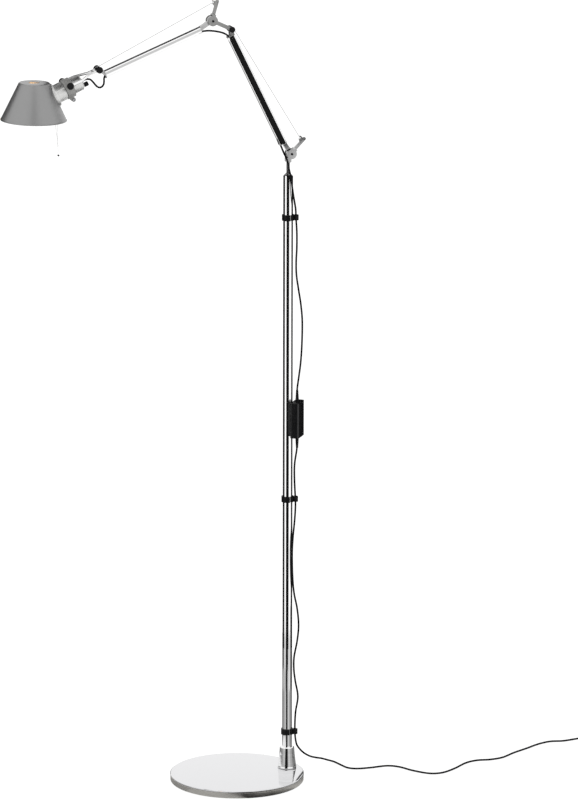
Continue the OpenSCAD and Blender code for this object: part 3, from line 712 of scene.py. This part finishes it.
def fork_rod(name, way):
    """One rod: an ellipse carried along the fork's line, closed at both ends."""
    points, faces = [], []
    for y, z in FORK_LINE:
        for k in range(ROD_SIDES):
            angle = math.tau * k / ROD_SIDES
            x, out = ROD_WIDE * math.cos(angle), ROD_THICK * math.sin(angle)
            points.append(LINK @ mm(x, way * y + out, z))
    for row in range(len(FORK_LINE) - 1):
        for k in range(ROD_SIDES):
            a, b = ROD_SIDES * row + k, ROD_SIDES * row + (k + 1) % ROD_SIDES
            faces.append((a, b, b + ROD_SIDES, a + ROD_SIDES))
    last = ROD_SIDES * (len(FORK_LINE) - 1)
    faces += [tuple(range(ROD_SIDES))[::-1], tuple(range(last, last + ROD_SIDES))]
    return mesh_piece(name, points, faces, math.radians(60))


def across_link(y, z):
    """Frame on the fork whose Z points sideways, away from the camera's side."""
    return LINK @ Matrix.Translation(mm(0, y, z)) @ Matrix.Rotation(math.pi / 2, 4, "X")


def make_fork():
    """Two rods of rounded section between the wrist and the ring's pivots."""
    eye = [
        (EYE_BORE, -ROD_THICK), (EYE_R, -ROD_THICK), (EYE_R, ROD_THICK), (EYE_BORE, ROD_THICK),
    ]  # fmt: skip
    pieces = []
    for way, side in ((-1, "front"), (1, "back")):
        pieces.append(fork_rod(f"fork_rod_{side}", way))
        for end, (y, z) in (("wrist", FORK_LINE[0]), ("ring", FORK_LINE[-1])):
            name = f"fork_eye_{end}_{side}"
            pieces.append(lathe(name, eye, across_link(way * y, z), 40, 0.4, loop=True))
    half = FORK_LINE[0][0]
    line = [(0, -half), (BAR_R, -half), (BAR_R, half), (0, half)]
    pieces.append(lathe("fork_bar", line, across_link(0, BAR_Z), 32, 0.3))
    for piece in pieces:
        dress(piece, "fork_plate", "fork")
    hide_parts("head_fork")


def make_strain_reliefs():
    """Ribbed tapered reliefs where the cord enters and leaves the box."""
    profile = [(1.62, -1.6), (2.9, -1.6), (2.9, 0.0), (3.2, 0.1)]
    for k in range(8):
        z, r = 0.1 + 2.4 * k, 3.2 - 0.13 * k
        profile += [(r, z + 1.3), (r - 0.4, z + 1.5), (r - 0.4, z + 2.2), (r - 0.1, z + 2.4)]
    profile += [(2.0, 20.2), (1.62, 20.2)]
    made = []
    for height, turn, name in ((BOX_HALF, 0, "relief_top"), (-BOX_HALF, math.pi, "relief_bottom")):
        place = Matrix.Translation(mm(*BOX_AT) + mm(0, 0, height))
        piece = lathe(name, profile, place @ Matrix.Rotation(turn, 4, "X"), 32, 0.12, loop=True)
        made.append(dress(piece, "black_plastic", "stand"))
    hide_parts("driver_strain_reliefs")
    return made


def make_shade():
    """Spun shade: conical wall, rolled lip and flat top with a hole."""
    lip = RIM_R + 0.2
    profile = [(RIM_R - 1.0, 2.4)]
    for k in range(9):
        angle = math.radians(200 + 30 * k)
        profile.append((lip + 0.95 * math.cos(angle) * 1.15, 1.0 + 1.0 * math.sin(angle)))
    profile += [
        (lip, 2.3), (TOP_R + 0.6, SHADE_H - 0.6), (TOP_R - 0.5, SHADE_H),
        (9.5, SHADE_H), (9.1, SHADE_H - 0.25), (9.1, SHADE_H - 1.0),
        (TOP_R - 1.2, SHADE_H - 1.0),
    ]  # fmt: skip
    shade = lathe("shade_shell", profile, SHADE, 160, 0.35, loop=True)
    cutter = lathe("cutter", [(0, -20), (13, -20), (13, 20), (0, 20)], HEAD, 64)
    hole = shade.modifiers.new("hole", "BOOLEAN")
    hole.object = cutter
    hole.solver = "EXACT"
    bpy.context.view_layer.update()
    shown = shade.evaluated_get(bpy.context.evaluated_depsgraph_get())
    mesh = bpy.data.meshes.new_from_object(shown)
    shade.modifiers.clear()
    shade.data = mesh
    mesh.shade_smooth()
    mesh.set_sharp_from_angle(angle=SHARP)
    bpy.data.objects.remove(cutter)
    shade.data.materials.clear()
    dress(shade, "shade_satin", "lamp_head", "shade")


WIRE_R = 0.75


def make_handle():
    """Bent wire below the shade: two legs, a ferrule and a short tail."""
    top = HEAD @ mm(12.6, 0, -3.6)
    middle = top + mm(1.7, 0, -41.6)
    low = middle + mm(1.5, 0, -29.7)
    end = low + mm(1.1, 0, -17.7)
    for way, name in ((-1, "handle_leg_front"), (1, "handle_leg_rear")):
        side = mm(0, way * 5.4)
        line = [
            top + side, top + side + mm(0.7, 0, -18), middle + side + mm(0, 0, 6),
            middle + side * 0.9 + mm(0.2, 0, -3), low + side * 0.25 + mm(0, 0, 8),
            low + side * 0.11,
        ]  # fmt: skip
        leg = tube(name, smooth(line, 8), WIRE_R * MM)
        dress(leg, "handle_wire", "lamp_head", "wire_handle" if way < 0 else None)
    tail = tube("handle_tail", smooth([low + mm(0, 0, 1), low, end], 4), WIRE_R * MM)
    dress(tail, "handle_wire", "lamp_head")
    lean = (end - low).to_track_quat("Z", "Y").to_matrix().to_4x4()
    ferrule = lathe(
        "handle_ferrule",
        [(0, -2.6), (1.3, -2.6), (1.5, -2.2), (1.5, 2.2), (1.3, 2.6), (0, 2.6)],
        Matrix.Translation(low) @ lean,
        32,
        0.2,
    )
    dress(ferrule, "handle_wire", "lamp_head")


def make_button():
    """Round switch knob with grip flutes and a dished end."""
    knob = lathe(
        "switch_knob",
        [
            (0, -5), (3, -5), (3, 2.3), (3.6, 2.5), (3.9, 3.0), (3.9, 8.6),
            (3.3, 9.5), (2.4, 9.4), (0, 9.0),
        ],  # fmt: skip
        HEAD @ Matrix.Translation(mm(7.4, 0, 50.6)),
        96,
        0.3,
        flutes=(16, 0.3, 3.2, 8.4),
    )
    dress(knob, "black_plastic", "button", "switch_button")


# A spring's mean radius, wire radius and pitch, and points in a turn.
SPRING_R, SPRING_WIRE_R, SPRING_PITCH, SPRING_STEPS = 3.0, 0.55, 1.3, 12
HOOK_R = 2.6


def make_spring(name, node, place, start, length, body):
    """Close-wound wire spring with an end loop at each end, in its tube."""
    points = []
    count = int(length / SPRING_PITCH) * SPRING_STEPS
    for i in range(count + 1):
        angle = 2 * math.pi * i / SPRING_STEPS
        z = start + length * i / count
        points.append(place @ mm(SPRING_R * math.cos(angle), SPRING_R * math.sin(angle), z))
    for k in range(9):
        angle = math.pi * k / 8
        x, rise = HOOK_R * math.cos(angle), 0.6 + 2.9 * math.sin(angle)
        points.append(place @ mm(x, 0, start + length + rise))
        points.insert(0, place @ mm(x, 0, start - rise))
    dress(tube(name, points, SPRING_WIRE_R * MM, 6), "spring_steel", body, node)


def make_cable(name, node, hook, end):
    """Tension cable, straight between a lever's hook and a pulley."""
    cable = dress(tube(name, [hook, end], 0.5 * MM, 10), "cable_steel", None, node)
    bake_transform(cable)


def make_loop(name, node, points):
    """Cord that bridges a joint, drawn as one bent tube between its two bodies."""
    loop = tube(name, smooth(points, ROUTE_STEPS), CORD_R * MM)
    dress(loop, "cord_black", None, node)
    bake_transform(loop)


def make_loops():
    """The short cords at the pole's top, the hinges and the lamp holder."""
    swivel = [beside(*p) for p in (
        (-0.4, 10.1, 1076.7), (1.6, 10, 1066), (4.2, 10.3, 1055), (5.6, 10.5, 1046)
    )]  # fmt: skip
    make_loop("loop_swivel", "swivel_cord", swivel)
    shoulder = [LOWER @ mm(*p) for p in (
        (-9, 0, 38), (-9, 0, 27), (-10, -2, 18), (-11.3, -5, 8),
        (-11.9, -8, 0), (-13.2, -9.4, -8.2),
    )]  # fmt: skip
    make_loop("loop_shoulder", "shoulder_cord", shoulder)
    elbow = [LOWER @ mm(*p) for p in (
        (-8.1, 0, 222), (-8.1, 0, 233), (-11, 0, 239.5), (-16, 0, 245.5),
        (-22.8, 0, 251.3), (-30, 0, 256.5), (-37.5, 0, 260.8), (-45.6, 0, 263.8),
        (-54, 0, 265),
    )]  # fmt: skip
    make_loop("loop_elbow", "elbow_cord", elbow)
    head = [UPPER @ mm(*p) for p in (
        (-9.8, 0, 192), (-9.8, 0, 203.4), (-12.2, 0, 207), (-17, 0, 209),
        (-21.5, 0, 211.5), (-24, 0, 215.5), (-24, 0, 219.5), (-21, 0, 223),
        (-16, 0, 225.2), (-10.5, 0, 227), (-5, 0, 229.5), (-1.8, 0, 234),
        (-0.5, 0, 240),
    )]  # fmt: skip
    make_loop("loop_head", "head_cord", head)
    holder = [HEAD @ mm(0, 0, z) for z in (50.6, 52.1, 53.6)] + [LINK @ mm(-6.1, 0, 29)]
    make_loop("loop_holder", "holder_cord", holder)


def lever_hook(at, degrees):
    """Where the cable ends on a lever at a hinge."""
    return at + Matrix.Rotation(math.radians(-degrees), 4, "Y") @ mm(30, 0, 6.5)


make_base()
make_collar()
plug = make_plug()
make_fork()
reliefs = make_strain_reliefs()
make_shade()
make_handle()
make_button()
make_loops()
make_spring(
    "spring_lower", "lower_spring", LOWER @ Matrix.Translation(mm(-3.7, 2.2)),
    67.3, 96, "lower_arm",
)  # fmt: skip
make_spring(
    "spring_upper", "upper_spring", UPPER @ Matrix.Translation(mm(-5.4, 2.2)),
    62.6, 84, "upper_arm",
)  # fmt: skip
make_cable(
    "cable_lower", "lower_tension_cable", lever_hook(SHOULDER, LOWER_LEVER),
    LOWER @ mm(5.3, 0, 244.1),
)  # fmt: skip
make_cable(
    "cable_upper", "upper_tension_cable", lever_hook(ELBOW, UPPER_LEVER),
    UPPER @ mm(9.8, 0, 212.5),
)  # fmt: skip
for cord in (cord_upper, cord_lower):
    dress(cord, "cord_black")
finish_cad_parts()


# ---------------------------------------------------------------- studio
def glow(name, level):
    """Evenly lit card material."""
    made = bpy.data.materials.new(name)
    made.use_nodes = True
    tree = made.node_tree
    tree.nodes.clear()
    light = tree.nodes.new("ShaderNodeEmission")
    light.inputs["Color"].default_value = (level, level, level, 1.0)
    out = tree.nodes.new("ShaderNodeOutputMaterial")
    link(tree, light.outputs["Emission"], out.inputs["Surface"])
    return made


def only_in_reflections(card, level):
    """Makes a card that lights nothing and that only glossy parts see."""
    card.data.materials.append(glow(card.name, level))
    card.visible_camera = False
    card.visible_diffuse = False
    card.visible_transmission = False
    card.visible_volume_scatter = False
    card.visible_shadow = False


# From the lamp towards the camera, and the same on the level.
TO_CAMERA = Vector((-0.3215, -0.9182, 0.2314))
LEVEL_FRONT = Vector((TO_CAMERA.x, TO_CAMERA.y, 0))


def strip(count):
    """Faces of a strip whose points go in pairs across it."""
    return [(2 * i, 2 * i + 1, 2 * i + 3, 2 * i + 2) for i in range(count)]


def sector(name, at, axis, front, radius, angles, heights, level):
    """Strip of a cylinder's wall about an axis, seen only in reflections.

    angles are degrees about the axis from front, positive towards
    -(front x axis). heights are metres along the axis.
    """
    axis = axis.normalized()
    front = (front - axis * front.dot(axis)).normalized()
    side = front.cross(axis) * -1
    points = []
    count = max(2, int((angles[1] - angles[0]) / 4) + 1)
    for i in range(count + 1):
        angle = math.radians(angles[0] + (angles[1] - angles[0]) * i / count)
        out = front * math.cos(angle) + side * math.sin(angle)
        points += [at + out * radius + axis * h for h in heights]
    only_in_reflections(mesh_piece(name, points, strip(count)), level)


def floor_card(name, angles, radii, level):
    """Flat piece of the floor round the pole, seen only in reflections."""
    front = LEVEL_FRONT.normalized()
    side = Vector((-front.y, front.x, 0))
    points = []
    count = int((angles[1] - angles[0]) / 6) + 1
    for i in range(count + 1):
        angle = math.radians(angles[0] + (angles[1] - angles[0]) * i / count)
        out = front * math.cos(angle) + side * math.sin(angle)
        points += [mm(POLE_X, 0, -2) + out * r for r in radii]
    only_in_reflections(mesh_piece(name, points, strip(count)), level)


def make_studio():
    """White surroundings and a pale floor."""
    world = bpy.data.worlds.new("studio")
    world.use_nodes = True
    world.node_tree.nodes["Background"].inputs["Color"].default_value = (1, 1, 1, 1)
    world.node_tree.nodes["Background"].inputs["Strength"].default_value = 1.1
    scene.world = world
    scene.view_settings.view_transform = "Standard"
    bpy.ops.mesh.primitive_plane_add(size=120)
    floor = bpy.context.object
    floor.name = "floor"
    made, tree, shader = shaded("floor_paper")
    grain = noise(tree, texture_space(tree), 40.0, 4.0)
    tone = ranged(tree, grain.outputs["Fac"], 0.0, 1.0)
    link(tree, blended(tree, tone, (0.24,) * 3, (0.26,) * 3), shader.inputs["Base Color"])
    shader.inputs["Roughness"].default_value = 0.9
    shader.inputs["Specular IOR Level"].default_value = 0.0
    shader.inputs["Emission Color"].default_value = (1, 1, 1, 1)
    shader.inputs["Emission Strength"].default_value = 0.86
    floor.data.materials.append(made)
    floor.visible_glossy = False


# Cards round each part: name, degrees from the front, and grey level.
POLE_CARDS = (
    ("card_centre", (-30, 27), 0.006),
    ("card_left", (-136, -65), 0.02),
    ("card_right", (80, 170), 0.01),
)
LOWER_CARDS = (
    ("card_lower_band", (-66, 84), 0.012),
    ("card_lower_edge", (128, 150), 0.3),
    ("card_lower_back", (-125, -80), 0.34),
)
UPPER_CARDS = (
    ("card_upper_line", (48, 100), 0.03),
    ("card_upper_low", (-34, 22), 0.63),
    ("card_upper_under", (-178, -80), 1.05),
)
SHADE_CARDS = (
    ("card_shade_edge", (-160, -112), 0.1),
    ("card_shade_front", (-6, 14), 0.55),
)
HOLDER_CARDS = (("card_holder_top", (-170, -85), 0.42),)
FORK_CARDS = (("card_fork_line", (28, 175), 0.02),)
COLLAR_CARDS = (
    ("collar_line", (-26, 8), 0.006),
    ("collar_right", (75, 165), 0.12),
)
# They stand close to their part, so the other parts don't see them.
CARD_R, HEAD_CARD_R, SHADE_CARD_R = 0.05, 0.06, 0.3
# Floor round the pole, as degrees from the front and levels, each up to the
# next: the outer ring carries on the pole's stripes, the middle one is the
# grey that its foot mirrors, and the inner one is what the collar mirrors.
STRIPE_GREYS = (
    (-180, 0.2), (-132, 0.08), (-80, 0.7), (-32, 0.06), (24, 0.75), (90, 0.06), (180, 0.0),
)  # fmt: skip
FLOOR_GREYS = (
    (-180, 0.27), (-128, 0.36), (-89, 0.56), (-60, 0.45), (-35, 0.32), (-12, 0.42),
    (12, 0.62), (35, 0.80), (75, 0.19), (128, 0.14), (180, 0.0),
)  # fmt: skip
COLLAR_GREYS = (
    (-180, 0.15), (-128, 0.24), (-92, 0.36), (-60, 0.55), (-25, 0.006), (3, 0.13),
    (15, 0.62), (45, 0.42), (75, 0.24), (180, 0.0),
)  # fmt: skip
POLE_FOOT, FLOOR_NEAR, FLOOR_MID, FLOOR_FAR = 0.03, 0.38, 0.68, 0.92
# Heights of the low wall that the collar mirrors, and of the cards above it.
WALL_LOW, WALL_TOP, COLLAR_TOP = -0.002, 0.045, 0.2


def make_cards():
    """Dark and grey cards that draw the lines on the polished parts."""
    pole = mm(POLE_X)
    for cards, place, at, front, radius, heights in (
        (POLE_CARDS, Matrix.Identity(4), pole, LEVEL_FRONT, CARD_R, (0.215, 1.09)),
        (LOWER_CARDS, LOWER, LOWER @ mm(-4.7), TO_CAMERA, CARD_R, (-0.002, 0.222)),
        (UPPER_CARDS, UPPER, UPPER @ mm(-6.4), TO_CAMERA, CARD_R, (0.012, 0.195)),
        (SHADE_CARDS, SHADE, SHADE @ mm(0), LEVEL_FRONT, SHADE_CARD_R, (-0.2, 0.34)),
        (HOLDER_CARDS, HEAD, HEAD @ mm(0), TO_CAMERA, HEAD_CARD_R, (0.03, 0.085)),
        (FORK_CARDS, LINK, LINK @ mm(0), TO_CAMERA, HEAD_CARD_R, (-0.02, 0.07)),
        (COLLAR_CARDS, Matrix.Identity(4), pole, LEVEL_FRONT, FLOOR_NEAR, (WALL_TOP, COLLAR_TOP)),
    ):
        for name, angles, level in cards:
            sector(name, at, place.to_3x3() @ UP, front, radius, angles, heights, level)
    for name, greys, radii in (
        ("floor_far", STRIPE_GREYS, (FLOOR_MID, FLOOR_FAR)),
        ("floor_mid", FLOOR_GREYS, (FLOOR_NEAR, FLOOR_MID)),
        ("floor_near", COLLAR_GREYS, (POLE_FOOT, FLOOR_NEAR)),
    ):
        for (start, level), (end, _) in zip(greys, greys[1:]):
            floor_card(f"{name}_{start}", (start, end), radii, level)
    for (start, level), (end, _) in zip(COLLAR_GREYS, COLLAR_GREYS[1:]):
        sector(
            f"collar_{start}", pole, UP, LEVEL_FRONT, FLOOR_NEAR,
            (start, end), (WALL_LOW, WALL_TOP), level,
        )  # fmt: skip


make_studio()
make_cards()
